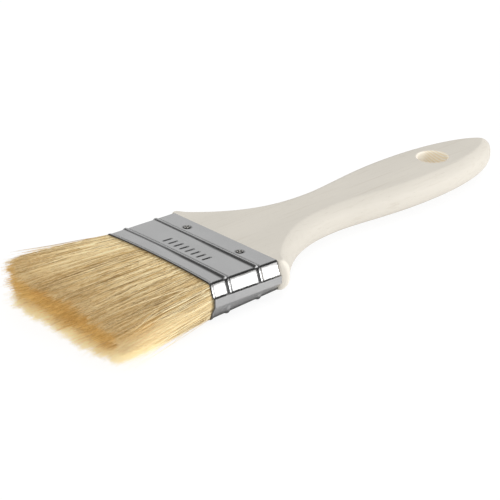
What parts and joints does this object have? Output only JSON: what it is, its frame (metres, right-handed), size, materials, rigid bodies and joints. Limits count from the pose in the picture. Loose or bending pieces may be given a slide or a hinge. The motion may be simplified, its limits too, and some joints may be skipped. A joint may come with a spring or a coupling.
{
  "type": "paint brush",
  "caption": "Flat paint brush with natural bristles in a beaded metal ferrule and a plain wooden handle with a hanging hole.",
  "frame": {"origin": "centre of the brush's bounding box in X and Y, at its lowest point, with the brush lying flat on one face", "axes": "+X from the bristle tips to the end of the handle, +Y across the width, +Z through the thickness, upwards"},
  "size_m": [0.2312, 0.0728, 0.0167],
  "materials": {
    "handle_wood": "bare sanded, pale",
    "tinplate": "bright tinned sheet",
    "nail_steel": "plain",
    "setting_resin": "hard set, amber",
    "strip_wood": "rough sawn",
    "bristle_hair": "pale natural hog bristle"
  },
  "bodies": {
    "root": {"handle": "handle_wood", "ferrule": "tinplate", "nail_top_far": "nail_steel", "nail_top_near": "nail_steel", "nail_under_far": "nail_steel", "nail_under_near": "nail_steel", "resin_setting": "setting_resin", "filler_strip": "strip_wood", "bristles_top": "bristle_hair", "bristles_under": "bristle_hair"}
  },
  "joints": []
}
